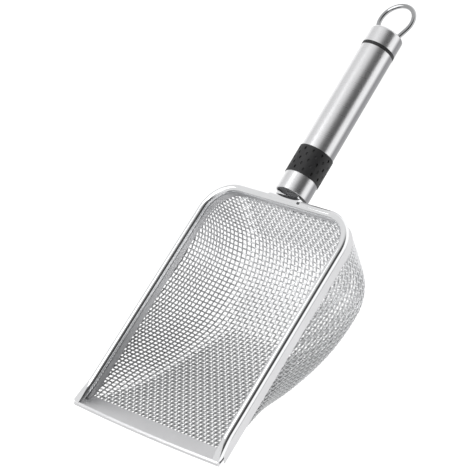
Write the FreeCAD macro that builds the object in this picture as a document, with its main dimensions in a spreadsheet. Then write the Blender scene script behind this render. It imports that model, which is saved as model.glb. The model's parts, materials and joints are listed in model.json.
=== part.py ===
import FreeCAD, Part
import math
import os
import Sketcher

V = FreeCAD.Vector
OUT = "parts"
os.makedirs(OUT, exist_ok=True)

# ---------------------------------------------------------------- driving dimensions
# Rim frame: +X across, +Y from the lip to the handle, +Z up. The rim wire's centre
# line lies in z = 0 and its back stretch on y = 0. Handle pieces use their own axis.
DIMS = {
    # scoop
    "half_width": 57.0,        # rim wire centre line, each side of the middle
    "scoop_len": 166.0,        # back rim wire to the cutting edge of the lip
    "scoop_depth": 57.5,       # rim plane to the underside of the basket
    "rim_dia": 5.2,
    "rim_corner": 20.0,        # centre line radius at the two back corners
    "rim_end_inset": 2.0,      # rim wire stops this far short of the cutting edge
    "bind_end_inset": 4.0,     # and its binding this far
    "tip_flare": 2.2,          # outward run of the rim wire at the tips
    "flare_len": 17.0,
    "flare_bend": 55.0,        # centre line radius where that run starts
    "tip_rise": 0.9,           # height of the ground-off rim ends above the rim plane
    "tip_grind": 16.0,         # length over which the rim ends are ground down
    # woven basket, as the envelope of its wires
    "mesh_thick": 1.6,
    "mesh_top": 4.8,           # its upper edge lies this far under the rim plane
    "floor_rise": 33.0,        # degrees, the front of the floor; found below
    "back_lean": 0.375,        # forward run of the back wall per unit of depth
    "round_up": 21.5,          # height of the rounding into the floor
    "side_round": 18.0,        # how far that rounding reaches in, at the sides
    "back_round": 26.0,
    "front_round": 11.0,
    "front_wide": 19.0,        # the floor's edges curve up over this much of the width
    "front_long": 67.0,        # and over this much of the length
    "front_grow": 25.0,        # depth over which that curve grows to its full size
    "corner_keep": 0.34,       # share of that curve lost at the bottom
    "back_keep": 0.8,          # share of the back corners' radius lost at the bottom
    "lean_ease": 3.0,          # softens the bend where the walls start to lean
    "least_round": 0.5,        # smallest corner of the basket's level cuts
    # edge binding
    "bind_thick": 0.5,
    "bind_low": 8.3,           # lower edge of its outer leg under the rim plane
    "bind_low_in": 6.9,        # lower edge of its inner leg
    "bind_play": 0.1,          # between the binding's legs and the mesh
    "seat_gap": 0.03,          # between the binding's fold and the rim wire
    # lip
    "lip_sheet": 0.8,
    "lip_depth": 11.5,         # measured up the slope
    "lip_fold": 3.0,           # solid folded front of the lip
    "lip_flare": 4.0,          # how far the lip's tips reach past the half width
    "lip_nose": 0.9,           # chamfer of the cutting edge
    "lip_bow": 1.4,            # how far the cutting edge bows forward
    "lip_play": 0.1,           # between the lip's leaves and the mesh
    "ear_gap": 0.05,           # between the lip's ears and the edge binding
    # handle
    "handle_rad": 11.0,
    "handle_wall": 0.8,
    "handle_drop": 2.7,        # handle axis under the rim plane at the back wire
    "handle_tilt": 1.3,        # degrees, rising away from the scoop
    "fit": 0.05,               # radial clearance of the nested handle pieces
    "ferrule_at": 5.8,
    "grip_at": 18.0,
    "tube_at": 36.9,
    "gasket_at": 113.8,
    "cap_at": 116.1,
    "cap_end": 128.3,
    "grip_proud": 0.45,
    "gasket_proud": 0.1,
    "core_wall": 2.2,
    "core_nose": 22.0,         # solid front of the core that holds the tang
    "core_end": 108.0,
    "cap_face": 1.2,
    "cap_round": 1.8,
    "dimple_deep": 0.45,
    "dimple_long": 1.1,
    "dimple_wide": 0.65,
    # tang
    "tang_thick": 2.6,
    "tang_wide": 17.0,
    "tang_foot": 24.0,
    "tang_reach": 20.0,
    "tang_lift": 0.3,          # tang centre above the rim plane
    "saddle": 1.2,             # thickness of the tab that wraps over the rim wire
    "saddle_wrap": 105.0,      # degrees of the rim wire that the tab goes round
    # hanging loop
    "wire_rad": 1.5,
    "eye_rad": 12.2,           # centre line radius of the round of the loop
    "eye_at": 138.9,
    "pivot_at": 124.6,
    "pivot_half": 7.2,         # where the legs turn in to the pivot
    "pivot_in": 1.2,           # inner end of each pivot pin
    "pivot_play": 0.05,
    "loop_drop": 2.2,          # degrees the loop sags below the handle's axis
    "lug_half": 4.4,
    "slot_half_wide": 10.5,    # slot in the cap for the loop's legs
    "slot_half_high": 3.9,
    # resting pose, found below from the finished solids
    "rest_lean": 12.0,
    "rest_y": 0.0,
    "rest_z": 0.0,
}

# The basket's curves are drawn for this length, half width and run of the floor's slope,
# and stretch with the scoop.
CURVES_LEN, CURVES_HALF, CURVES_RUN = 166.0, 57.0, 88.5422
LONG_SCALE = DIMS["scoop_len"] / CURVES_LEN
WIDE_SCALE = DIMS["half_width"] / CURVES_HALF
DIMS["floor_rise"] = round(math.degrees(
    math.atan2(DIMS["scoop_depth"], CURVES_RUN * LONG_SCALE)), 4)

# Long enough to cut right across any piece.
ACROSS = 4.0 * DIMS["half_width"]

doc = FreeCAD.newDocument("beach_sand_scoop")
dims = doc.addObject("Spreadsheet::Sheet", "dims")


def write_dim(row, name, value):
    dims.set("A%d" % row, name)
    dims.set("B%d" % row, repr(value))
    dims.setAlias("B%d" % row, name)


ROWS = {name: row for row, name in enumerate(DIMS, 1)}
for dim_name, dim_value in DIMS.items():
    write_dim(ROWS[dim_name], dim_name, dim_value)
doc.recompute()


def D(name):
    return DIMS[name]


def sin(deg):
    return math.sin(math.radians(deg))


def cos(deg):
    return math.cos(math.radians(deg))


def tan(deg):
    return math.tan(math.radians(deg))


# ---------------------------------------------------------------- modelling helpers
def new_body(label):
    body = doc.addObject("PartDesign::Body", label)
    body.Label = label
    return body


def sketch_on(body, role, name, lift=0.0, lift_dim=None):
    """Empty sketch on one of the body's own origin planes, lifted along its normal."""
    plane = [f for f in body.Origin.OriginFeatures if f.Role == role][0]
    sk = body.newObject("Sketcher::SketchObject", name)
    sk.AttachmentSupport = [(plane, "")]
    sk.MapMode = "FlatFace"
    sk.AttachmentOffset = FreeCAD.Placement(V(0, 0, lift), FreeCAD.Rotation())
    if lift_dim:
        sk.setExpression("AttachmentOffset.Base.z", lift_dim)
    return sk


def corner_path(points, radii, closed=True):
    """Lines through the points, each corner rounded by its radius."""
    n = len(points)
    starts, ends, arcs = {}, {}, {}
    for i in range(n):
        p = points[i]
        r = radii[i]
        if r <= 0 or (not closed and i in (0, n - 1)):
            starts[i] = ends[i] = p
            continue
        a, b = points[i - 1], points[(i + 1) % n]
        u, w = (a - p).normalize(), (b - p).normalize()
        half = u.getAngle(w) / 2
        reach = r / math.tan(half)
        starts[i], ends[i] = p + u * reach, p + w * reach
        centre = p + (u + w).normalize() * (r / math.sin(half))
        arcs[i] = (starts[i], centre + (p - centre).normalize() * r, ends[i])
    edges = []
    for i in range(n):
        if i in arcs:
            edges.append(Part.Arc(*arcs[i]))
        if i < n - 1 or closed:
            a, b = ends[i], starts[(i + 1) % n]
            if (b - a).Length > 1e-6:
                edges.append(Part.LineSegment(a, b))
    return edges


def draw(sk, points, radii=0.0, closed=True):
    pts = [V(x, y, 0) for x, y in points]
    if not isinstance(radii, (list, tuple)):
        radii = [radii] * len(pts)
    sk.addGeometry(corner_path(pts, radii, closed), False)
    return sk


def draw_circle(sk, x, y, rad, rad_dim=None):
    index = sk.addGeometry(Part.Circle(V(x, y, 0), V(0, 0, 1), rad), False)
    if rad_dim:
        con = sk.addConstraint(Sketcher.Constraint("Radius", index, rad))
        sk.renameConstraint(con, "rad%d" % index)
        sk.setExpression("Constraints.rad%d" % index, rad_dim)
    return sk


def pad(body, sk, name, length, length_dim=None, midplane=False):
    feature = body.newObject("PartDesign::Pad", name)
    feature.Profile = sk
    feature.Length = length
    feature.Midplane = midplane
    if length_dim:
        feature.setExpression("Length", length_dim)
    return feature


def pocket(body, sk, name, length, length_dim=None, midplane=False, reverse=False):
    """Pocket that must take material away; the volumes are compared after recompute."""
    doc.recompute()
    before = body.Shape.Volume
    feature = body.newObject("PartDesign::Pocket", name)
    feature.Profile = sk
    feature.Length = length
    feature.Midplane = midplane
    feature.Reversed = reverse
    if length_dim:
        feature.setExpression("Length", length_dim)
    doc.recompute()
    if not body.Shape.Volume < before - 1e-3:
        raise RuntimeError("%s cuts nothing from %s" % (name, body.Label))
    return feature


def ring_pad(label, outer, inner, start, stop, outer_dim, inner_dim, start_dim, stop_dim):
    """Tube along the handle axis."""
    body = new_body(label)
    sk = sketch_on(body, "XY_Plane", label + "_ring", start, start_dim)
    draw_circle(sk, 0, 0, outer, outer_dim)
    draw_circle(sk, 0, 0, inner, inner_dim)
    pad(body, sk, label + "_pad", stop - start, "%s - %s" % (stop_dim, start_dim))
    return body


# ---------------------------------------------------------------- placements
def lean_rotation(extra=0.0):
    return FreeCAD.Rotation(V(1, 0, 0), extra - D("rest_lean"))


def place(body, origin_y="0", origin_z="0", turn="0"):
    """Turn about +X and set down: the whole object leans back by rest_lean."""
    body.Placement = FreeCAD.Placement(V(0, 0, 0), lean_rotation(-1.0))
    lean = "dims.rest_lean"
    body.setExpression("Placement.Rotation.Angle", "(%s) - (%s)" % (turn, lean))
    rise = "sin(%s * 1 deg)" % lean
    run = "cos(%s * 1 deg)" % lean
    body.setExpression(
        "Placement.Base.y", "(%s) * %s + (%s) * %s + dims.rest_y" % (origin_y, run, origin_z, rise))
    body.setExpression(
        "Placement.Base.z", "(%s) * %s - (%s) * %s + dims.rest_z" % (origin_z, run, origin_y, rise))


def place_handle(body):
    place(body, "0", "-dims.handle_drop", "dims.handle_tilt - 90")


# ---------------------------------------------------------------- woven basket
def basket_section(depth, shrink):
    """Half width, front y, back y, front corner width and length, back corner radius.

    These are the sizes of a level cut. shrink is the wall taken off all round: 0 gives
    the outer surface.
    """
    low = D("scoop_depth") - shrink
    start = low - D("round_up")
    part = min(max((depth - start) / D("round_up"), 0.0), 1.0)
    tuck = 1.0 - math.sqrt(max(1.0 - part * part, 0.0))
    below = max(depth - D("bind_low"), 0.0)
    eased = math.hypot(below, D("lean_ease")) - D("lean_ease")
    wall = D("mesh_thick") / 2
    half = D("half_width") + wall - shrink - WIDE_SCALE * D("side_round") * tuck
    back = wall - shrink * math.hypot(1.0, D("back_lean"))
    back -= LONG_SCALE * (D("back_lean") * eased + D("back_round") * tuck)
    front = -D("scoop_len") + depth / tan(D("floor_rise"))
    front += (shrink - wall) / sin(D("floor_rise")) + LONG_SCALE * D("front_round") * tuck
    back_corner = D("rim_corner") + wall - shrink - D("back_keep") * D("rim_corner") * tuck
    grown = min(max((depth - D("mesh_top")) / D("front_grow"), 0.0), 1.0)
    grown *= (2.0 - grown) * (1.0 - D("corner_keep") * tuck)
    least = D("least_round")
    wide = max(2 * least + WIDE_SCALE * D("front_wide") * grown - shrink, least)
    long = max(4 * least + LONG_SCALE * D("front_long") * grown - shrink, 2 * least)
    long = min(long, back - front - back_corner - 2 * least)
    wide = min(wide, 0.9 * long)
    return half, front, back, wide, long, back_corner


def basket_levels(shrink, top):
    """Depths of the level cuts that the lofts run through, closer together in the rounding."""
    start = D("scoop_depth") - shrink - D("round_up")
    step = (start - D("bind_low")) / 3
    levels = [top, D("bind_low")] + [D("bind_low") + step * k for k in (1, 2, 3)]
    return levels + [start + D("round_up") * q for q in (0.45, 0.75, 0.93, 1.0)]


def level_outline(sk, half, front, back, wide, long, corner):
    """Closed outline of a level cut: elliptical corners in front and round ones at the back."""
    y = front + long
    right, left = V(half - wide, y, 0), V(wide - half, y, 0)
    turn = corner * (1.0 - math.sqrt(0.5))
    fore = Part.Ellipse(right + V(0, -long, 0), right + V(wide, 0, 0), right)
    aft = Part.Ellipse(left + V(0, long, 0), left + V(-wide, 0, 0), left)
    sk.addGeometry([
        Part.LineSegment(V(wide - half, front, 0), V(half - wide, front, 0)),
        Part.ArcOfEllipse(fore, 0, math.pi / 2),
        Part.LineSegment(V(half, y, 0), V(half, back - corner, 0)),
        Part.Arc(V(half, back - corner, 0), V(half - turn, back - turn, 0), V(half - corner, back, 0)),
        Part.LineSegment(V(half - corner, back, 0), V(corner - half, back, 0)),
        Part.Arc(V(corner - half, back, 0), V(turn - half, back - turn, 0), V(-half, back - corner, 0)),
        Part.LineSegment(V(-half, back - corner, 0), V(-half, y, 0)),
        Part.ArcOfEllipse(aft, math.pi / 2, math.pi)], False)


def basket_sketches(body, shrink, top, stem):
    sketches = []
    for k, depth in enumerate(basket_levels(shrink, top)):
        sk = sketch_on(body, "XY_Plane", "%s%d" % (stem, k), -depth)
        level_outline(sk, *basket_section(depth, shrink))
        sketches.append(sk)
    return sketches


def make_mesh_basket():
    body = new_body("mesh_basket")
    outer = basket_sketches(body, 0.0, D("mesh_top"), "outer")
    loft = body.newObject("PartDesign::AdditiveLoft", "outer_loft")
    loft.Profile = outer[0]
    loft.Sections = outer[1:]
    inner = basket_sketches(body, D("mesh_thick"), D("mesh_top") - D("least_round"), "inner")
    hollow = body.newObject("PartDesign::SubtractiveLoft", "inner_loft")
    hollow.Profile = inner[0]
    hollow.Sections = inner[1:]
    place(body)
    return body


# ---------------------------------------------------------------- rim wire and binding
def lip_height(y, offset):
    """Height of a plane parallel to the lip, offset along its normal, at y."""
    return -(y + D("scoop_len")) * tan(D("floor_rise")) + offset / cos(D("floor_rise"))


def lip_half_thick():
    return D("mesh_thick") / 2 + D("lip_play") + D("lip_sheet")


def below_lip(offset, y_to):
    """Side outline of what lies under the lip plane, up to y_to."""
    y_from = -D("scoop_len") - 8.0
    return [(y_from, lip_height(y_from, offset)), (y_from, -40.0),
            (y_to, -40.0), (y_to, lip_height(y_to, offset))]


def under_ear(offset):
    """Side outline of the room the lip's ears take up, square to the lip at its rear end."""
    y_from = -D("scoop_len") - 8.0
    low = -D("bind_low") - 2.0
    step = lip_step() + D("ear_gap")
    y_top = -D("scoop_len") + step * cos(D("floor_rise")) + offset * sin(D("floor_rise"))
    top = lip_height(y_top, offset)
    return [(y_from, lip_height(y_from, offset)), (y_from, low),
            (y_top - (top - low) * tan(D("floor_rise")), low), (y_top, top)]


def rim_path(sk, y_end, flare):
    half, r = D("half_width"), D("rim_corner")
    bend = -D("scoop_len") + D("flare_len")
    if flare:
        pts = [(-half - flare, y_end), (-half, bend), (-half, 0), (half, 0), (half, bend),
               (half + flare, y_end)]
        radii = [0, D("flare_bend"), r, r, D("flare_bend"), 0]
    else:
        pts = [(-half, y_end), (-half, 0), (half, 0), (half, y_end)]
        radii = [0, r, r, 0]
    return draw(sk, pts, radii, closed=False)


def sweep(body, profile, path, name):
    pipe = body.newObject("PartDesign::AdditivePipe", name)
    pipe.Profile = profile
    pipe.Spine = (path, [])
    pipe.Mode = "Frenet"
    pipe.Transition = "Transformed"
    return pipe


def make_rim_wire():
    body = new_body("rim_wire")
    y_end = -D("scoop_len") + D("rim_end_inset")
    path = rim_path(sketch_on(body, "XY_Plane", "rim_path"), y_end, D("tip_flare"))
    profile = body.newObject("Sketcher::SketchObject", "rim_round")
    plane = [f for f in body.Origin.OriginFeatures if f.Role == "XZ_Plane"][0]
    profile.AttachmentSupport = [(plane, "")]
    profile.MapMode = "FlatFace"
    lean_out = math.degrees(math.atan2(D("tip_flare"), D("flare_len") - D("rim_end_inset")))
    profile.AttachmentOffset = FreeCAD.Placement(
        V(-D("half_width") - D("tip_flare"), 0, -y_end), FreeCAD.Rotation(V(0, 1, 0), -lean_out))
    draw_circle(profile, 0, 0, D("rim_dia") / 2, "dims.rim_dia / 2")
    sweep(body, profile, path, "rim_sweep")
    under = sketch_on(body, "YZ_Plane", "rim_foot")
    draw(under, below_lip(lip_half_thick(), -D("scoop_len") + D("flare_len")))
    pocket(body, under, "rim_foot_cut", ACROSS, midplane=True)
    grind = sketch_on(body, "YZ_Plane", "rim_grind")
    front, top = -D("scoop_len"), D("rim_dia") / 2
    slope = (top - D("tip_rise")) / D("tip_grind")
    draw(grind, [(front - 5.0, D("tip_rise") - 5.0 * slope), (front + D("tip_grind"), top),
                 (front + D("tip_grind"), top + 5.0), (front - 5.0, top + 5.0)])
    pocket(body, grind, "rim_grind_cut", ACROSS, midplane=True)
    place(body)
    return body


def make_edge_binding():
    body = new_body("edge_binding")
    y_end = -D("scoop_len") + D("bind_end_inset")
    path = rim_path(sketch_on(body, "XY_Plane", "binding_path"), y_end, 0)
    sk = sketch_on(body, "XZ_Plane", "binding_fold", -y_end)
    mid = -D("half_width")
    slot = D("mesh_thick") / 2 + D("bind_play")
    leg = slot + D("bind_thick")
    top = -D("rim_dia") / 2 - D("seat_gap")
    low, low_in = -D("bind_low"), -D("bind_low_in")
    draw(sk, [(mid - leg, low), (mid - leg, top), (mid + leg, top), (mid + leg, low_in),
              (mid + slot, low_in), (mid + slot, top - D("bind_thick")),
              (mid - slot, top - D("bind_thick")), (mid - slot, low)])
    sweep(body, sk, path, "binding_sweep")
    front = -D("scoop_len")
    ear = sketch_on(body, "YZ_Plane", "binding_ear")
    draw(ear, under_ear(lip_half_thick() + D("ear_gap")))
    pocket(body, ear, "binding_ear_cut", ACROSS, midplane=True)
    inner = sketch_on(body, "YZ_Plane", "binding_inner")
    over = D("mesh_thick") / 2 + D("lip_play")
    draw(inner, below_lip(over, front + D("lip_depth") + 1.0))
    pocket(body, inner, "binding_inner_cut", 2 * (D("half_width") - slot + 0.05), midplane=True)
    place(body)
    return body


# ---------------------------------------------------------------- lip
def lip_step():
    """Distance up the slope where the lip narrows to pass between the binding's legs."""
    return D("mesh_top") / sin(D("floor_rise")) - 0.4


def make_lip_plate():
    body = new_body("lip_plate")
    sk = sketch_on(body, "XY_Plane", "lip_outline")
    rear = D("half_width") - D("mesh_thick") / 2 - D("bind_play") - D("bind_thick") - 0.1
    ear = D("half_width") + D("mesh_thick") / 2 + D("bind_play") + D("bind_thick") + 0.3
    tip, step = D("half_width") + D("lip_flare"), lip_step()
    pts = [(tip, 0.6), (ear, step), (rear, step), (rear, D("lip_depth"))]
    side = [V(x, y, 0) for x, y in pts]
    other = [V(-p.x, p.y, 0) for p in reversed(side)]
    loop = side + other
    edges = [Part.LineSegment(a, b) for a, b in zip(loop[:-1], loop[1:])]
    edges.append(Part.Arc(loop[-1], V(0, 0.6 - D("lip_bow"), 0), loop[0]))
    sk.addGeometry(edges, False)
    thick = 2 * lip_half_thick()
    pad(body, sk, "lip_pad", thick, "2 * (dims.mesh_thick / 2 + dims.lip_play + dims.lip_sheet)",
        midplane=True)
    slot = sketch_on(body, "YZ_Plane", "lip_slot")
    gap = D("mesh_thick") / 2 + D("lip_play")
    back = D("lip_depth") + 2.0
    draw(slot, [(D("lip_fold"), -gap), (back, -gap), (back, gap), (D("lip_fold"), gap)])
    pocket(body, slot, "lip_slot_cut", ACROSS, midplane=True)
    front_edges = []
    for number, edge in enumerate(body.Shape.Edges, 1):
        mid = edge.valueAt((edge.FirstParameter + edge.LastParameter) / 2)
        if edge.Length > 2 * D("half_width") and mid.y < 0:
            front_edges.append("Edge%d" % number)
    base = body.Tip
    nose = body.newObject("PartDesign::Chamfer", "lip_nose")
    nose.Base = (base, front_edges)
    nose.Size = D("lip_nose")
    nose.setExpression("Size", "dims.lip_nose")
    place(body, "-dims.scoop_len", "0", "-dims.floor_rise")
    return body


# ---------------------------------------------------------------- tang
def make_handle_tang():
    body = new_body("handle_tang")
    sk = sketch_on(body, "YZ_Plane", "tang_side")
    low = D("tang_lift") - D("tang_thick") / 2
    high = D("tang_lift") + D("tang_thick") / 2
    inside = D("rim_dia") / 2 + D("seat_gap")
    outside = inside + D("saddle")
    wrap = D("saddle_wrap")

    def on_round(rad, angle):
        return V(rad * cos(angle), rad * sin(angle), 0)

    a_low = math.degrees(math.asin(low / inside))
    a_high = math.degrees(math.asin(high / outside))
    p0, p1 = on_round(inside, a_low), on_round(inside, wrap)
    p2, p3 = on_round(outside, wrap), on_round(outside, a_high)
    reach = D("tang_reach")
    sk.addGeometry([
        Part.Arc(p0, on_round(inside, (a_low + wrap) / 2), p1),
        Part.LineSegment(p1, p2),
        Part.Arc(p2, on_round(outside, (a_high + wrap) / 2), p3),
        Part.LineSegment(p3, V(reach, high, 0)),
        Part.LineSegment(V(reach, high, 0), V(reach, low, 0)),
        Part.LineSegment(V(reach, low, 0), p0)], False)
    pad(body, sk, "tang_pad", D("tang_foot"), "dims.tang_foot", midplane=True)
    trim = sketch_on(body, "XY_Plane", "tang_trim", -10.0)
    half, foot = D("tang_wide") / 2, D("tang_foot") / 2 + 1.0
    start = outside - 0.6
    for side in (-1, 1):
        pts = [(side * foot, start), (side * (half + 0.8), start), (side * half, start + 0.8),
               (side * half, reach + 1.0), (side * foot, reach + 1.0)]
        draw(trim, pts if side > 0 else pts[::-1])
    pocket(body, trim, "tang_trim_cut", 20.0, reverse=True)
    place(body)
    return body


# ---------------------------------------------------------------- handle
def handle_pieces():
    outer, outer_dim = D("handle_rad"), "dims.handle_rad"
    bore = D("handle_rad") - D("handle_wall")
    bore_dim = "dims.handle_rad - dims.handle_wall"
    made = []
    for label, a, b in (("ferrule", "ferrule_at", "grip_at"), ("handle_tube", "tube_at", "gasket_at")):
        made.append(ring_pad(label, outer, bore, D(a), D(b), outer_dim, bore_dim,
                             "dims." + a, "dims." + b))
    made.append(ring_pad("cap_gasket", outer + D("gasket_proud"), bore, D("gasket_at"), D("cap_at"),
                         outer_dim + " + dims.gasket_proud", bore_dim,
                         "dims.gasket_at", "dims.cap_at"))
    made.append(make_grip_ring(bore, bore_dim))
    made.append(make_core())
    made.append(make_end_plug())
    made.append(make_end_cap())
    for body in made:
        place_handle(body)
    made.append(make_hanging_loop())
    return made


def make_grip_ring(bore, bore_dim):
    outer = D("handle_rad") + D("grip_proud")
    body = ring_pad("grip_ring", outer, bore, D("grip_at"), D("tube_at"),
                    "dims.handle_rad + dims.grip_proud", bore_dim, "dims.grip_at", "dims.tube_at")
    per_row, rows = 12, 5
    pitch = (D("tube_at") - D("grip_at")) / (rows + 0.6)
    half_step = math.pi / per_row
    sk = sketch_on(body, "XZ_Plane", "dimples", outer)
    for row in range(rows):
        x = outer * math.sin(half_step) if row % 2 else 0.0
        z = D("grip_at") + pitch * (row + 0.8)
        sk.addGeometry(Part.Ellipse(V(x, z + D("dimple_long"), 0), V(x + D("dimple_wide"), z, 0),
                                    V(x, z, 0)), False)
    doc.recompute()
    cut = pocket(body, sk, "dimple_cut", D("dimple_deep") + 0.2)
    pattern = body.newObject("PartDesign::PolarPattern", "dimple_rows")
    pattern.Originals = [cut]
    axis = [f for f in body.Origin.OriginFeatures if f.Role == "Z_Axis"][0]
    pattern.Axis = (axis, [""])
    pattern.Angle = 360
    pattern.Occurrences = per_row
    body.Tip = pattern
    return body


def core_radius():
    return D("handle_rad") - D("handle_wall") - D("fit")


CORE_DIM = "dims.handle_rad - dims.handle_wall - dims.fit"


def make_core():
    """Sleeve inside the handle; its solid nose is slotted for the tang."""
    body = new_body("handle_core")
    start = D("ferrule_at") + 0.6
    sk = sketch_on(body, "XY_Plane", "core_round", start, "dims.ferrule_at + 0.6")
    draw_circle(sk, 0, 0, core_radius(), CORE_DIM)
    pad(body, sk, "core_pad", D("core_end") - start, "dims.core_end - dims.ferrule_at - 0.6")
    hollow = sketch_on(body, "XY_Plane", "core_hollow", start + D("core_nose"))
    draw_circle(hollow, 0, 0, core_radius() - D("core_wall"), CORE_DIM + " - dims.core_wall")
    pocket(body, hollow, "core_hollow_cut", D("core_end"), reverse=True)
    slot = sketch_on(body, "XY_Plane", "tang_slot", start - 1.0)
    play = 0.1
    half = D("tang_wide") / 2 + play
    # The tang stays level with the rim while the handle rises, so the slot's two faces
    # take in both heights of the tang over its length inside.
    rise = (D("tang_reach") + 1.0) * tan(D("handle_tilt"))
    mid = -(D("handle_drop") + D("tang_lift"))
    up, down = mid - D("tang_thick") / 2 - play, mid + D("tang_thick") / 2 + play + rise
    draw(slot, [(-half, up), (half, up), (half, down), (-half, down)])
    pocket(body, slot, "tang_slot_cut", D("tang_reach") - start + 2.0, reverse=True)
    return body


def make_end_plug():
    """Plug between tube and cap; its lug carries the loop's pivots."""
    body = new_body("end_plug")
    start, face = D("core_end") + 0.3, D("pivot_at") - D("wire_rad") - 1.6
    sk = sketch_on(body, "XY_Plane", "plug_round", start, "dims.core_end + 0.3")
    draw_circle(sk, 0, 0, core_radius(), CORE_DIM)
    pad(body, sk, "plug_pad", face - start,
        "dims.pivot_at - dims.wire_rad - 1.6 - dims.core_end - 0.3")
    lug = sketch_on(body, "XY_Plane", "lug_square", face)
    half, thick = D("lug_half"), D("wire_rad") + 1.3
    draw(lug, [(-half, -thick), (half, -thick), (half, thick), (-half, thick)])
    top = D("cap_end") - D("cap_face") - 0.3
    pad(body, lug, "lug_pad", top - face)
    bore = sketch_on(body, "YZ_Plane", "pivot_bore")
    draw_circle(bore, 0, D("pivot_at"), D("wire_rad") + D("pivot_play"),
                "dims.wire_rad + dims.pivot_play")
    pocket(body, bore, "pivot_bore_cut", 4 * half, midplane=True)
    return body


def make_end_cap():
    body = new_body("end_cap")
    length = D("cap_end") - D("cap_at")
    sk = sketch_on(body, "XY_Plane", "cap_round_sketch", D("cap_at"), "dims.cap_at")
    draw_circle(sk, 0, 0, D("handle_rad"), "dims.handle_rad")
    pad(body, sk, "cap_pad", length, "dims.cap_end - dims.cap_at")
    doc.recompute()
    rim = [n for n, e in enumerate(body.Shape.Edges, 1)
           if e.Closed and abs(e.valueAt(e.FirstParameter).z - D("cap_end")) < 1e-6]
    base = body.Tip
    soft = body.newObject("PartDesign::Fillet", "cap_edge")
    soft.Base = (base, ["Edge%d" % n for n in rim])
    soft.Radius = D("cap_round")
    soft.setExpression("Radius", "dims.cap_round")
    inside = sketch_on(body, "XY_Plane", "cap_inside", D("cap_at"), "dims.cap_at")
    draw_circle(inside, 0, 0, D("handle_rad") - D("handle_wall"), "dims.handle_rad - dims.handle_wall")
    pocket(body, inside, "cap_inside_cut", length - D("cap_face"),
           "dims.cap_end - dims.cap_at - dims.cap_face", reverse=True)
    slot = sketch_on(body, "XY_Plane", "cap_slot", D("cap_end") - D("cap_face") - 0.5)
    x, y = D("slot_half_wide"), D("slot_half_high")
    draw(slot, [(-x, -y), (x, -y), (x, y), (-x, y)], 2.0)
    pocket(body, slot, "cap_slot_cut", D("cap_face") + 2.0, reverse=True)
    return body


def make_hanging_loop():
    body = new_body("hanging_loop")
    path = sketch_on(body, "XZ_Plane", "loop_path")
    x, s, r = D("pivot_half"), D("pivot_at"), D("eye_rad")
    up = D("eye_at") - s
    away = math.hypot(x, up)
    run = math.sqrt(away * away - r * r)
    angle = math.atan2(up, -x) - math.asin(r / away)
    touch = V(x + run * math.cos(angle), s + run * math.sin(angle), 0)
    leg = [V(D("pivot_in"), s, 0), V(x, s, 0), touch]
    right = corner_path(leg, [0, 2.0, 0], closed=False)
    left = corner_path([V(-p.x, p.y, 0) for p in reversed(leg)], [0, 2.0, 0], closed=False)
    crown = Part.Arc(touch, V(0, D("eye_at") + r, 0), V(-touch.x, touch.y, 0))
    path.addGeometry(right + [crown] + left, False)
    profile = sketch_on(body, "YZ_Plane", "loop_round", D("pivot_in"), "dims.pivot_in")
    draw_circle(profile, 0, s, D("wire_rad"), "dims.wire_rad")
    sweep(body, profile, path, "loop_sweep")
    sagged = "dims.handle_tilt - dims.loop_drop"
    place(body,
          "dims.pivot_at * (cos(dims.handle_tilt * 1 deg) - cos((%s) * 1 deg))" % sagged,
          "dims.pivot_at * (sin(dims.handle_tilt * 1 deg) - sin((%s) * 1 deg))"
          " - dims.handle_drop" % sagged, sagged + " - 90")
    return body


def set_dim(name, value):
    DIMS[name] = round(value, 4)
    write_dim(ROWS[name], name, DIMS[name])


# ---------------------------------------------------------------- resting pose
# Rough densities in g/mm3, only to find which two places the scoop lies on. The basket's
# solid is the envelope of an open weave, so it weighs about a third of solid steel.
LIGHT = {"mesh_basket": 0.0027, "grip_ring": 0.0012, "cap_gasket": 0.0012, "handle_core": 0.0011, "end_plug": 0.0011}
STEEL = 0.0078


def lower_hull(points):
    hull = []
    for p in sorted(set(points)):
        while len(hull) > 1 and cross(hull[-2], hull[-1], p) <= 0:
            hull.pop()
        hull.append(p)
    return hull


def cross(a, b, c):
    return (b[0] - a[0]) * (c[1] - a[1]) - (b[1] - a[1]) * (c[0] - a[0])


def settle(bodies):
    """Turn the object until the two low places that straddle its weight are level."""
    for _ in range(3):
        points, weight, moment = [], 0.0, 0.0
        for body in bodies:
            mass = body.Shape.Volume * LIGHT.get(body.Label, STEEL)
            weight += mass
            moment += mass * body.Shape.Solids[0].CenterOfMass.y
            if body.Label != "hanging_loop":
                points += [(round(p.y, 4), round(p.z, 4)) for p in body.Shape.tessellate(0.02)[0]]
        middle = moment / weight
        hull = lower_hull(points)
        spans = [(a, b) for a, b in zip(hull[:-1], hull[1:]) if a[0] <= middle <= b[0]]
        (y0, z0), (y1, z1) = spans[0]
        set_dim("rest_lean", D("rest_lean") + math.degrees(math.atan2(z1 - z0, y1 - y0)))
        doc.recompute()
    box = FreeCAD.BoundBox()
    for body in bodies:
        box.add(exact_box(body))
    set_dim("rest_y", D("rest_y") - (box.YMin + box.YMax) / 2)
    set_dim("rest_z", D("rest_z") - box.ZMin)
    doc.recompute()
    print("lean", D("rest_lean"), "rests at y", y0, y1, "weight", round(weight, 1), "g at y", middle,
          "rest_y", D("rest_y"), "rest_z", D("rest_z"))


def exact_box(body):
    return body.Shape.optimalBoundingBox(False, False)


# ---------------------------------------------------------------- build, check, export
def check(bodies):
    for item in doc.Objects:
        if "Invalid" in item.State or "Error" in item.State:
            raise RuntimeError("%s failed: %s" % (item.Name, item.State))
    for body in bodies:
        shape = body.Shape
        if shape.isNull() or not shape.isValid() or len(shape.Solids) != 1:
            raise RuntimeError("%s is not one valid solid" % body.Label)


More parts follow.
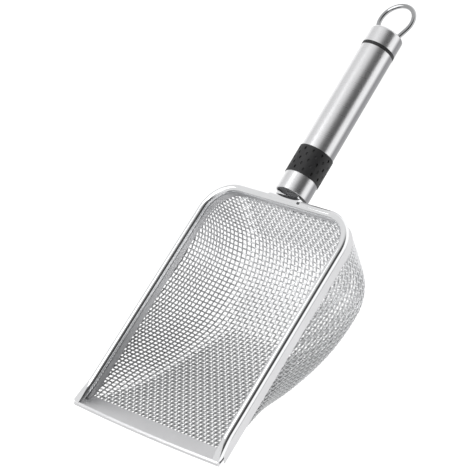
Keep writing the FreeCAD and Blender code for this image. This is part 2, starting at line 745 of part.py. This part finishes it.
BODIES = [make_mesh_basket(), make_rim_wire(), make_edge_binding(), make_lip_plate(),
          make_handle_tang()] + handle_pieces()
doc.recompute()
settle(BODIES)
check(BODIES)
for body in BODIES:
    body.Shape.exportStep(os.path.join(OUT, body.Label + ".step"))
    box = exact_box(body)
    print("%-14s %9.1f mm3  x %7.2f %7.2f  y %7.2f %7.2f  z %7.2f %7.2f" % (
        body.Label, body.Shape.Volume, box.XMin, box.XMax, box.YMin, box.YMax, box.ZMin, box.ZMax))
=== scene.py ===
import json
import math

import bpy
import numpy as np
from mathutils import Matrix, Vector


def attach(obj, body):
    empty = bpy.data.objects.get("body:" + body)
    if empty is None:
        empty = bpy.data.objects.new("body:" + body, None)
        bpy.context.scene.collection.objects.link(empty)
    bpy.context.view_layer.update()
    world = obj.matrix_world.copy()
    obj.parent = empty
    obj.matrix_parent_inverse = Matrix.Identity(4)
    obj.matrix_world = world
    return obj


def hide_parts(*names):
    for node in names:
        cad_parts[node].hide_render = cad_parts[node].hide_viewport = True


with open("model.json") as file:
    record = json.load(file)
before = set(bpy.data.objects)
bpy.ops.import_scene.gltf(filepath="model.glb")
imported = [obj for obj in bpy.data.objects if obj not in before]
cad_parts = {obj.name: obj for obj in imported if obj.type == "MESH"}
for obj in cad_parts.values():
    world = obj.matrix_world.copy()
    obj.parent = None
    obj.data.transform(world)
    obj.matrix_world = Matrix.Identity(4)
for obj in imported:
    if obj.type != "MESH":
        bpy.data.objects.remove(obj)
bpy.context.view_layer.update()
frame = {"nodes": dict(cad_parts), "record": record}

# ------------------------------------------------------------ resting place and camera
MM = 0.001
HANDLE_TILT = math.radians(1.3)     # of the handle's axis over the rim's plane
HANDLE_DROP = 2.7                   # of that axis under the rim's plane at the back
HANDLE_MIDDLE = 75.35               # from the back of the rim to the middle of the tube
tube_mount = [m for m in frame["record"]["mounts"] if m["name"] == "handle_tube"][0]
DROOP = math.atan2(-tube_mount["axis"][2], tube_mount["axis"][1])
LEAN = DROOP + HANDLE_TILT          # of the rim's plane, lip up
TURN = np.array([[1.0, 0.0, 0.0],
                 [0.0, math.cos(LEAN), math.sin(LEAN)],
                 [0.0, -math.sin(LEAN), math.cos(LEAN)]])
tube_middle = np.array([0.0, HANDLE_MIDDLE * math.cos(HANDLE_TILT),
                        HANDLE_MIDDLE * math.sin(HANDLE_TILT) - HANDLE_DROP])
RIM_AT = np.array(tube_mount["pos_m"]) - TURN @ tube_middle * MM


def to_rest(points):
    """From the rim's frame in mm to the resting place in metres."""
    return np.asarray(points) @ TURN.T * MM + RIM_AT


# The camera's place and aim in the rim's frame, in mm.
CAMERA_AT = (733.39, -339.48, 797.37)
CAMERA_AHEAD = (-0.66143, 0.27105, -0.69932)
CAMERA_RIGHT = (0.71551, 0.50760, -0.47999)
SENSOR_WIDTH, LENS = 36.0, 143.4


def make_camera():
    """A long lens, placed and aimed in the rim's frame."""
    data = bpy.data.cameras.new("camera")
    data.sensor_width = SENSOR_WIDTH
    data.lens = LENS
    data.clip_start, data.clip_end = 0.05, 20.0
    cam = bpy.data.objects.new("camera", data)
    bpy.context.collection.objects.link(cam)
    back = -Vector(TURN @ CAMERA_AHEAD).normalized()
    right = Vector(TURN @ CAMERA_RIGHT)
    up = back.cross(right).normalized()
    aim = Matrix((up.cross(back), up, back)).transposed().to_4x4()
    cam.matrix_world = Matrix.Translation(to_rest(CAMERA_AT)) @ aim
    bpy.context.scene.camera = cam


make_camera()


# ------------------------------------------------------------ mesh helpers
def new_piece(name, points, faces, body, material):
    """A piece from an array of points and an array of faces with a fixed corner count."""
    mesh = bpy.data.meshes.new(name)
    sides = faces.shape[1]
    mesh.vertices.add(len(points))
    mesh.vertices.foreach_set("co", np.asarray(points, dtype=np.float32).ravel())
    mesh.loops.add(faces.size)
    mesh.loops.foreach_set("vertex_index", faces.astype(np.int32).ravel())
    mesh.polygons.add(len(faces))
    mesh.polygons.foreach_set("loop_start", np.arange(0, faces.size, sides, dtype=np.int32))
    mesh.polygons.foreach_set("use_smooth", np.full(len(faces), True))
    mesh.update(calc_edges=True)
    mesh.validate()
    piece = bpy.data.objects.new(name, mesh)
    bpy.context.collection.objects.link(piece)
    mesh.materials.append(material)
    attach(piece, body)
    return piece


def unit(vectors):
    return vectors / np.linalg.norm(vectors, axis=-1, keepdims=True)


# ------------------------------------------------------------ shader helpers
class Value:
    """A socket that takes part in sums, so a formula reads as it is written."""

    def __init__(self, shade, socket):
        self.shade = shade
        self.socket = socket

    def sum_of(self, operation, *parts):
        return self.shade.node("ShaderNodeMath", {"operation": operation}, parts)

    def __add__(self, other):
        return self.sum_of("ADD", self, other)

    def __sub__(self, other):
        return self.sum_of("SUBTRACT", self, other)

    def __rsub__(self, other):
        return self.sum_of("SUBTRACT", other, self)

    def __mul__(self, other):
        return self.sum_of("MULTIPLY", self, other)

    def __truediv__(self, other):
        return self.sum_of("DIVIDE", self, other)

    __radd__ = __add__
    __rmul__ = __mul__


class Shade:
    """A material being built round one Principled shader."""

    def __init__(self, name, **finish):
        self.material = bpy.data.materials.new(name)
        self.material.use_nodes = True
        self.tree = self.material.node_tree
        self.shader = self.tree.nodes["Principled BSDF"]
        for socket, value in finish.items():
            self.shader.inputs[socket.replace("_", " ")].default_value = value

    def node(self, kind, settings=None, inputs=(), output=0):
        """A node of one kind. Settings come first, then its sockets by name or in order."""
        made = self.tree.nodes.new(kind)
        for setting, value in (settings or {}).items():
            if setting == "stops":
                self.set_stops(made.color_ramp, value)
            else:
                setattr(made, setting, value)
        pairs = inputs.items() if isinstance(inputs, dict) else enumerate(inputs)
        for socket, value in pairs:
            self.feed(made.inputs[socket], value)
        return Value(self, made.outputs[output])

    def set_stops(self, ramp, stops):
        while len(ramp.elements) < len(stops):
            ramp.elements.new(0.5)
        for element, (place, grey) in zip(ramp.elements, stops):
            element.position = place
            element.color = (grey, grey, grey, 1.0) if isinstance(grey, float) else (*grey, 1.0)

    def feed(self, socket, value):
        if isinstance(value, Value):
            self.tree.links.new(value.socket, socket)
        else:
            socket.default_value = value

    def place(self, scale=(1.0, 1.0, 1.0), turn=(0.0, 0.0, 0.0)):
        """Object coordinates, turned and stretched into a frame of the piece's own."""
        here = self.node("ShaderNodeTexCoord", output="Object")
        return self.node("ShaderNodeMapping", {"vector_type": "POINT"},
                         {"Vector": here, "Rotation": turn, "Scale": scale})

    def noise(self, where, scale, detail=3.0, rough=0.5):
        return self.node("ShaderNodeTexNoise", None,
                         {"Vector": where, "Scale": scale, "Detail": detail, "Roughness": rough})

    def ramp(self, value, stops):
        return self.node("ShaderNodeValToRGB", {"stops": stops}, [value])

    def blend(self, part, first, second):
        """One colour fading into another."""
        made = self.tree.nodes.new("ShaderNodeMix")
        made.data_type = "RGBA"
        for socket, value in zip((made.inputs[0], made.inputs[6], made.inputs[7]),
                                 (part, first, second)):
            if not isinstance(value, Value) and socket.type == "RGBA":
                value = (*value, 1.0)
            self.feed(socket, value)
        return Value(self, made.outputs[2])

    def bump(self, height, deep, strength=1.0):
        made = self.node("ShaderNodeBump", None,
                         {"Height": height, "Distance": deep, "Strength": strength})
        self.feed(self.shader.inputs["Normal"], made)

    def set(self, **sockets):
        for socket, value in sockets.items():
            self.feed(self.shader.inputs[socket.replace("_", " ")], value)


def grey(level):
    return (level, level, level)


# ------------------------------------------------------------ basket surface
HALF_WIDTH, SCOOP_LEN, BASKET_DEPTH = 57.0, 166.0, 56.7
FLOOR_RISE = math.radians(33.0)
BACK_LEAN = 0.375
ROUND_UP, SIDE_ROUND, BACK_ROUND, FRONT_ROUND = 21.5, 18.0, 26.0, 11.0
FRONT_WIDE, FRONT_LONG, FRONT_GROW = 19.0, 67.0, 25.0
RIM_CORNER = 20.0
WALL_BEND = 8.3                     # depth under which the back starts to lean
MESH_TOP = 5.0                      # depth of the wires' upper ends
HALF_WALL = 0.8                     # from the wires' middle surface to the weave's outside
LEAN_EASE = 3.0                     # softens the bend where the back starts to lean
CORNER_TOP = 4.8                    # depth at which the front corners start to grow
CORNER_KEEP, BACK_KEEP = 0.34, 0.8  # shares of the front and back corners lost at the bottom
LEAST_WIDE, LEAST_LONG = 0.5, 1.2   # size of the front corners at the top
LINE_POINTS, CLIMB_POINTS = 400, 240
PITCH = 3.04
WIRE_RAD, WAVE = 0.54, 0.27
STEPS = 4                           # points along a wire for each wire that it crosses
WIRE_SIDES = 6
FORWARD_LEAN = 0.25                 # cross wires lean this much towards the lip going up


def level_outline(depth):
    """The rounded rectangle in which a level plane at this depth cuts the basket.

    The back leans in from WALL_BEND on, and the walls tuck in by a quarter of an ellipse
    over the last ROUND_UP of depth. The front edge slides up the slope of the floor, and
    its corners are quarter ellipses that grow over the first FRONT_GROW of depth.
    """
    part = np.clip((depth - (BASKET_DEPTH - ROUND_UP)) / ROUND_UP, 0.0, 1.0)
    tuck = 1.0 - np.sqrt(np.clip(1.0 - part * part, 0.0, 1.0))
    below = np.clip(depth - WALL_BEND, 0.0, None)
    eased = np.sqrt(below * below + LEAN_EASE ** 2) - LEAN_EASE
    half = HALF_WIDTH - SIDE_ROUND * tuck
    back = HALF_WALL - HALF_WALL * math.hypot(1.0, BACK_LEAN)
    back = back - BACK_LEAN * eased - BACK_ROUND * tuck
    front = -SCOOP_LEN + depth / math.tan(FLOOR_RISE) + FRONT_ROUND * tuck
    back_corner = RIM_CORNER * (1.0 - BACK_KEEP * tuck)
    grown = np.clip((depth - CORNER_TOP) / FRONT_GROW, 0.0, 1.0)
    grown = grown * (2.0 - grown) * (1.0 - CORNER_KEEP * tuck)
    wide = LEAST_WIDE + FRONT_WIDE * grown
    long = np.minimum(LEAST_LONG + FRONT_LONG * grown, back - front - back_corner - 1.0)
    return half, front, back, wide, long, back_corner


def half_at(y, depth):
    """Half the basket's width at y on the level at this depth.

    It is the full half width, less a quarter circle's fall in the back corner and a
    quarter ellipse's fall in the front one.
    """
    half, front, back, wide, long, back_corner = level_outline(depth)
    rear = np.clip((y - back + back_corner) / back_corner, 0.0, 1.0)
    fore = np.clip((front + long - y) / long, 0.0, 1.0)
    return (half - back_corner * (1.0 - np.sqrt(1.0 - rear * rear))
            - wide * (1.0 - np.sqrt(1.0 - fore * fore)))


def middle_line():
    """Length, y and depth along the basket's middle: down the floor, then up the back."""
    ease = np.sin(np.linspace(0.0, math.pi / 2, LINE_POINTS))
    down = MESH_TOP + (BASKET_DEPTH - MESH_TOP) * ease
    fore, rear = level_outline(down)[1], level_outline(down)[2]
    y = np.concatenate([fore, rear[::-1]])
    depth = np.concatenate([down, down[::-1]])
    run = np.concatenate([[0.0], np.cumsum(np.hypot(np.diff(y), np.diff(depth)))])
    return run, y, depth


def wire_net():
    """Points of the net at quarter steps between its wires, and how far each row reaches.

    Row v crosses the scoop: level over the floor or the back wall, then up both walls
    while it leans towards the lip. Column u is at equal lengths from the middle along the
    rows. Gives points[v, u], with u from the middle outwards on the +X side, and reach[v].
    """
    run, line_y, line_depth = middle_line()
    rows = int(run[-1] / PITCH) * STEPS + 1
    at = (np.arange(rows) / STEPS) * PITCH
    row_y = np.interp(at, run, line_y)[:, None]
    row_depth = np.interp(at, run, line_depth)[:, None]
    climb = np.linspace(0.0, 1.0, CLIMB_POINTS)[None, :] ** 2
    depth = row_depth - (row_depth - MESH_TOP) * climb
    y = row_y - FORWARD_LEAN * (row_depth - depth)
    x = half_at(y, depth)
    x = np.concatenate([np.zeros_like(row_y), x], axis=1)
    y = np.concatenate([row_y, y], axis=1)
    depth = np.concatenate([row_depth, depth], axis=1)
    step = np.sqrt(np.diff(x) ** 2 + np.diff(y) ** 2 + np.diff(depth) ** 2)
    length = np.concatenate([np.zeros_like(row_y), np.cumsum(step, axis=1)], axis=1)
    reach = length[:, -1]
    columns = int(reach.max() / PITCH * STEPS) + 1
    want = np.arange(columns) / STEPS * PITCH
    points = np.stack([np.stack([np.interp(want, length[v], part[v]) for part in (x, y, -depth)],
                                axis=-1) for v in range(rows)])
    return points, reach


def tube(path, up, rad):
    """A round wire along a path of points: rings at each point, with flat closed ends."""
    along = unit(np.gradient(path, axis=0))
    side = unit(np.cross(along, up))
    up = np.cross(side, along)
    angle = np.arange(WIRE_SIDES) * (2 * math.pi / WIRE_SIDES)
    ring = (np.cos(angle)[None, :, None] * side[:, None, :]
            + np.sin(angle)[None, :, None] * up[:, None, :])
    points = (path[:, None, :] + rad * ring).reshape(-1, 3)
    first = np.arange(len(path) - 1)[:, None] * WIRE_SIDES + np.arange(WIRE_SIDES)[None, :]
    second = np.arange(len(path) - 1)[:, None] * WIRE_SIDES + np.roll(np.arange(WIRE_SIDES), -1)
    first, second = first.ravel(), second.ravel()
    walls = np.concatenate([np.stack([first, first + WIRE_SIDES, second], axis=1),
                            np.stack([second, first + WIRE_SIDES, second + WIRE_SIDES], axis=1)])
    fan = np.stack([np.zeros(WIRE_SIDES - 2, int), np.arange(1, WIRE_SIDES - 1),
                    np.arange(2, WIRE_SIDES)], axis=1)
    last = (len(path) - 1) * WIRE_SIDES
    return points, np.concatenate([walls, fan, fan[:, ::-1] + last])


def gather(tubes):
    """Many tubes as one array of points and one of faces."""
    counts = np.cumsum([0] + [len(points) for points, _ in tubes])
    points = np.concatenate([points for points, _ in tubes])
    faces = np.concatenate([faces + start for (_, faces), start in zip(tubes, counts)])
    return points, faces


def weave():
    """Cross wires and lengthwise wires, each waved over and under the others in turn.

    A wire follows a line of the net, lifted along the net's normal by WAVE times a cosine
    whose half turn is one pitch. Wires side by side are half a turn apart, and the
    two sets are opposite where they cross.
    """
    points, reach = wire_net()
    mirrored = points[:, :0:-1] * np.array([-1.0, 1.0, 1.0])
    net = to_rest(np.concatenate([mirrored, points], axis=1))
    middle = points.shape[1] - 1
    outward = unit(np.cross(np.gradient(net, axis=1), np.gradient(net, axis=0)))
    across, lengthwise = [], []
    steps_v = np.arange(net.shape[0]) / STEPS
    steps_u = (np.arange(net.shape[1]) - middle) / STEPS
    far = (reach / PITCH * STEPS).astype(int)
    for v in range(0, net.shape[0], STEPS):
        span = slice(middle - far[v], middle + far[v] + 1)
        lift = WAVE * MM * np.cos(math.pi * (steps_u[span] + v // STEPS))[:, None]
        path = net[v, span] + lift * outward[v, span]
        across.append(tube(path, outward[v, span], WIRE_RAD * MM))
    side_count = (net.shape[1] - 1 - middle) // STEPS
    for i in range(-side_count, side_count + 1):
        u = middle + i * STEPS
        inside = np.nonzero(far >= abs(i) * STEPS)[0]
        if len(inside) < 2 * STEPS:
            continue
        span = slice(inside[0], inside[-1] + 1)
        lift = -WAVE * MM * np.cos(math.pi * (steps_v[span] + i))[:, None]
        path = net[span, u] + lift * outward[span, u]
        lengthwise.append(tube(path, outward[span, u], WIRE_RAD * MM))
    return gather(across), gather(lengthwise)


# ------------------------------------------------------------ finishes
def wire_steel():
    """Drawn wire, with painted shade darkening it towards the lip."""
    shade = Shade("woven_wire_steel", Metallic=1.0, Roughness=0.3)
    here = shade.place()
    drift = shade.noise(here, 60.0, 3.0)
    ahead = shade.node("ShaderNodeSeparateXYZ", None, [here], 1)
    # Painted shade: the wires' colour darkens towards the lip.
    painted_shade_near_lip = shade.ramp(ahead * -8.0 + drift * 0.2, ((0.3, 0.0), (0.95, 1.0)))
    unshaded = shade.blend(drift, (0.64, 0.65, 0.66), (0.80, 0.80, 0.81))
    shade.set(Base_Color=shade.blend(painted_shade_near_lip, unshaded, (0.44, 0.445, 0.45)),
              Roughness=drift * 0.2 + 0.2)
    shade.bump(shade.noise(here, 2500.0, 2.0), 0.00002)
    return shade.material


def polished_steel():
    shade = Shade("polished_rim_steel", Metallic=1.0, Roughness=0.06)
    here = shade.place()
    haze = shade.noise(here, 90.0, 4.0)
    shade.set(Base_Color=shade.blend(haze, (0.80, 0.81, 0.82), (0.90, 0.90, 0.91)),
              Roughness=haze * 0.06 + 0.03)
    shade.bump(shade.noise(here, 900.0, 3.0), 0.00001, 0.5)
    return shade.material


def loop_wire():
    shade = Shade("loop_wire_steel", Metallic=1.0, Roughness=0.1)
    here = shade.place()
    haze = shade.noise(here, 220.0, 4.0)
    shade.set(Base_Color=shade.blend(haze, (0.34, 0.345, 0.35), (0.48, 0.48, 0.49)),
              Roughness=haze * 0.08 + 0.05)
    shade.bump(shade.noise(here, 1100.0, 3.0), 0.00001, 0.5)
    return shade.material


def satin_sheet():
    shade = Shade("satin_sheet_steel", Metallic=1.0, Roughness=0.4)
    here = shade.place()
    grain = shade.noise(shade.place(scale=(1.0, 0.05, 0.3)), 1800.0, 3.0)
    cloud = shade.noise(here, 40.0, 3.0)
    shade.set(Base_Color=shade.blend(cloud, (0.60, 0.60, 0.61), (0.72, 0.72, 0.73)),
              Roughness=grain * 0.16 + 0.32)
    shade.bump(grain, 0.00002)
    return shade.material


# Once the handle's droop is turned away: its axis, its radius and the end of its cap.
AXIS_HEIGHT = (tube_mount["pos_m"][1] * math.sin(DROOP)
               + tube_mount["pos_m"][2] * math.cos(DROOP))
HANDLE_RAD = tube_mount["dims"]["r_mm"] * MM
CAP_FACE = (tube_mount["pos_m"][1] * math.cos(DROOP)
            - tube_mount["pos_m"][2] * math.sin(DROOP) + 52.95 * MM)
END_FADE = 0.15 * MM                # painted shade darkens the cap's end face within this of its plane


def brushed_handle():
    """Steel brushed round the handle, with painted shade underneath and on the cap's end."""
    shade = Shade("brushed_handle_steel", Metallic=1.0, Roughness=0.25)
    here = shade.place(turn=(DROOP, 0.0, 0.0))
    lines = shade.noise(shade.place(turn=(DROOP, 0.0, 0.0), scale=(0.04, 1.0, 0.04)), 2600.0, 2.0)
    cloud = shade.noise(here, 45.0, 3.0)
    height = shade.node("ShaderNodeSeparateXYZ", None, [here], 2)
    facing_up = (height - AXIS_HEIGHT) * (math.cos(DROOP) / HANDLE_RAD)
    # Painted shade: the steel darkens where it faces down and on the cap's end face.
    painted_shade_underneath = shade.ramp(facing_up * -1.0 + 0.3, ((0.14, 0.0), (0.34, 1.0)))
    along = shade.node("ShaderNodeSeparateXYZ", None, [here], 1)
    painted_shade_on_cap_end = shade.ramp((along - CAP_FACE + END_FADE) / END_FADE, ((0.0, 0.0), (0.8, 1.0)))
    darker = shade.node("ShaderNodeMath", {"operation": "MAXIMUM"}, [painted_shade_underneath, painted_shade_on_cap_end])
    unshaded = shade.blend(cloud, (0.70, 0.70, 0.71), (0.80, 0.80, 0.81))
    shade.set(Base_Color=shade.blend(darker, unshaded, (0.25, 0.25, 0.26)),
              Roughness=lines * 0.1 + 0.24)
    shade.bump(lines, 0.000002)
    return shade.material


def black_rubber():
    shade = Shade("black_grip_rubber", Roughness=0.6)
    here = shade.place()
    grain = shade.noise(here, 3000.0, 2.0)
    cloud = shade.noise(here, 120.0, 3.0)
    shade.set(Base_Color=shade.blend(cloud, (0.004, 0.004, 0.005), (0.012, 0.012, 0.013)),
              Roughness=cloud * 0.2 + 0.45)
    shade.bump(grain, 0.00003)
    return shade.material


def black_plastic():
    shade = Shade("black_core_plastic", Roughness=0.5)
    here = shade.place()
    grain = shade.noise(here, 1500.0, 3.0)
    shade.set(Base_Color=shade.blend(grain, (0.02, 0.02, 0.022), (0.05, 0.05, 0.052)),
              Roughness=grain * 0.2 + 0.4)
    shade.bump(grain, 0.00002)
    return shade.material


FINISHES = {
    "mesh_wire": wire_steel(),
    "polished_steel": polished_steel(),
    "loop_wire": loop_wire(),
    "satin_sheet": satin_sheet(),
    "brushed_handle": brushed_handle(),
    "black_rubber": black_rubber(),
    "black_plastic": black_plastic(),
}
NODE_FINISH = {
    "mesh_basket": "mesh_wire",
    "rim_wire": "polished_steel",
    "edge_binding": "satin_sheet",
    "lip_plate": "satin_sheet",
    "handle_tang": "polished_steel",
    "ferrule": "brushed_handle",
    "handle_tube": "brushed_handle",
    "end_cap": "brushed_handle",
    "cap_gasket": "black_rubber",
    "grip_ring": "black_rubber",
    "handle_core": "black_plastic",
    "end_plug": "black_plastic",
    "hanging_loop": "loop_wire",
}
for node, finish in NODE_FINISH.items():
    for material_slot in frame["nodes"][node].material_slots:
        material_slot.material = FINISHES[finish]

for name, (points, faces) in zip(("cross_wires", "lengthwise_wires"), weave()):
    wires = new_piece(name, points, faces, "scoop", FINISHES["mesh_wire"])
    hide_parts("mesh_basket")


# ------------------------------------------------------------ studio
FLOOR_END, FLOOR_FADE = 0.32, 0.7  # the floor darkens beyond this, on the +X side


def make_floor():
    size = 6.0
    points = np.array([[-size, -size, 0.0], [size, -size, 0.0], [size, size, 0.0],
                       [-size, size, 0.0]])
    mesh = bpy.data.meshes.new("floor")
    mesh.from_pydata(points.tolist(), [], [(0, 1, 2, 3)])
    floor = bpy.data.objects.new("floor", mesh)
    bpy.context.collection.objects.link(floor)
    shade = Shade("pale_floor", Roughness=0.9, Emission_Strength=1.0)
    cloud = shade.noise(shade.place(), 3.0, 2.0)
    east = shade.node("ShaderNodeSeparateXYZ", None, [shade.place()])
    far = shade.ramp((east - FLOOR_END) / FLOOR_FADE, ((0.0, 0.0), (1.0, 1.0)))
    shade.set(Base_Color=shade.blend(cloud, grey(0.13), grey(0.15)),
              Emission_Color=shade.blend(far, grey(1.0), grey(0.3)))
    mesh.materials.append(shade.material)


def make_world():
    """A bright room overhead and behind the scoop, darker on the side that it faces."""
    world = bpy.data.worlds.new("studio")
    world.use_nodes = True
    bpy.context.scene.world = world
    tree = world.node_tree
    background = tree.nodes["Background"]
    coord = tree.nodes.new("ShaderNodeTexCoord")
    dot = tree.nodes.new("ShaderNodeVectorMath")
    dot.operation = "DOT_PRODUCT"
    dot.inputs[1].default_value = (0.96, 0.22, 0.16)
    ramp = tree.nodes.new("ShaderNodeValToRGB")
    stops = ((0.0, 0.9), (0.6, 0.95), (0.76, 0.8), (0.9, 0.17), (1.0, 0.05))
    while len(ramp.color_ramp.elements) < len(stops):
        ramp.color_ramp.elements.new(0.5)
    for element, (place, level) in zip(ramp.color_ramp.elements, stops):
        element.position = place
        element.color = (level, level, level, 1.0)
    half = tree.nodes.new("ShaderNodeMath")
    half.operation = "MULTIPLY_ADD"
    half.inputs[1].default_value = 0.5
    half.inputs[2].default_value = 0.5
    tree.links.new(coord.outputs["Generated"], dot.inputs[0])
    tree.links.new(dot.outputs["Value"], half.inputs[0])
    tree.links.new(half.outputs[0], ramp.inputs[0])
    tree.links.new(ramp.outputs["Color"], background.inputs["Color"])
    background.inputs["Strength"].default_value = 0.9


def make_light(name, at, aim, size, power):
    data = bpy.data.lights.new(name, "AREA")
    data.shape = "RECTANGLE"
    data.size, data.size_y = size
    data.energy = power
    lamp = bpy.data.objects.new(name, data)
    bpy.context.collection.objects.link(lamp)
    lamp.location = at
    lamp.rotation_mode = "QUATERNION"
    lamp.rotation_quaternion = (Vector(aim) - Vector(at)).to_track_quat("-Z", "Y")


make_floor()
make_world()
make_light("overhead", (-0.2, 0.1, 1.6), (0.0, 0.0, 0.05), (1.2, 1.6), 14.0)
bpy.context.scene.view_settings.view_transform = "Standard"
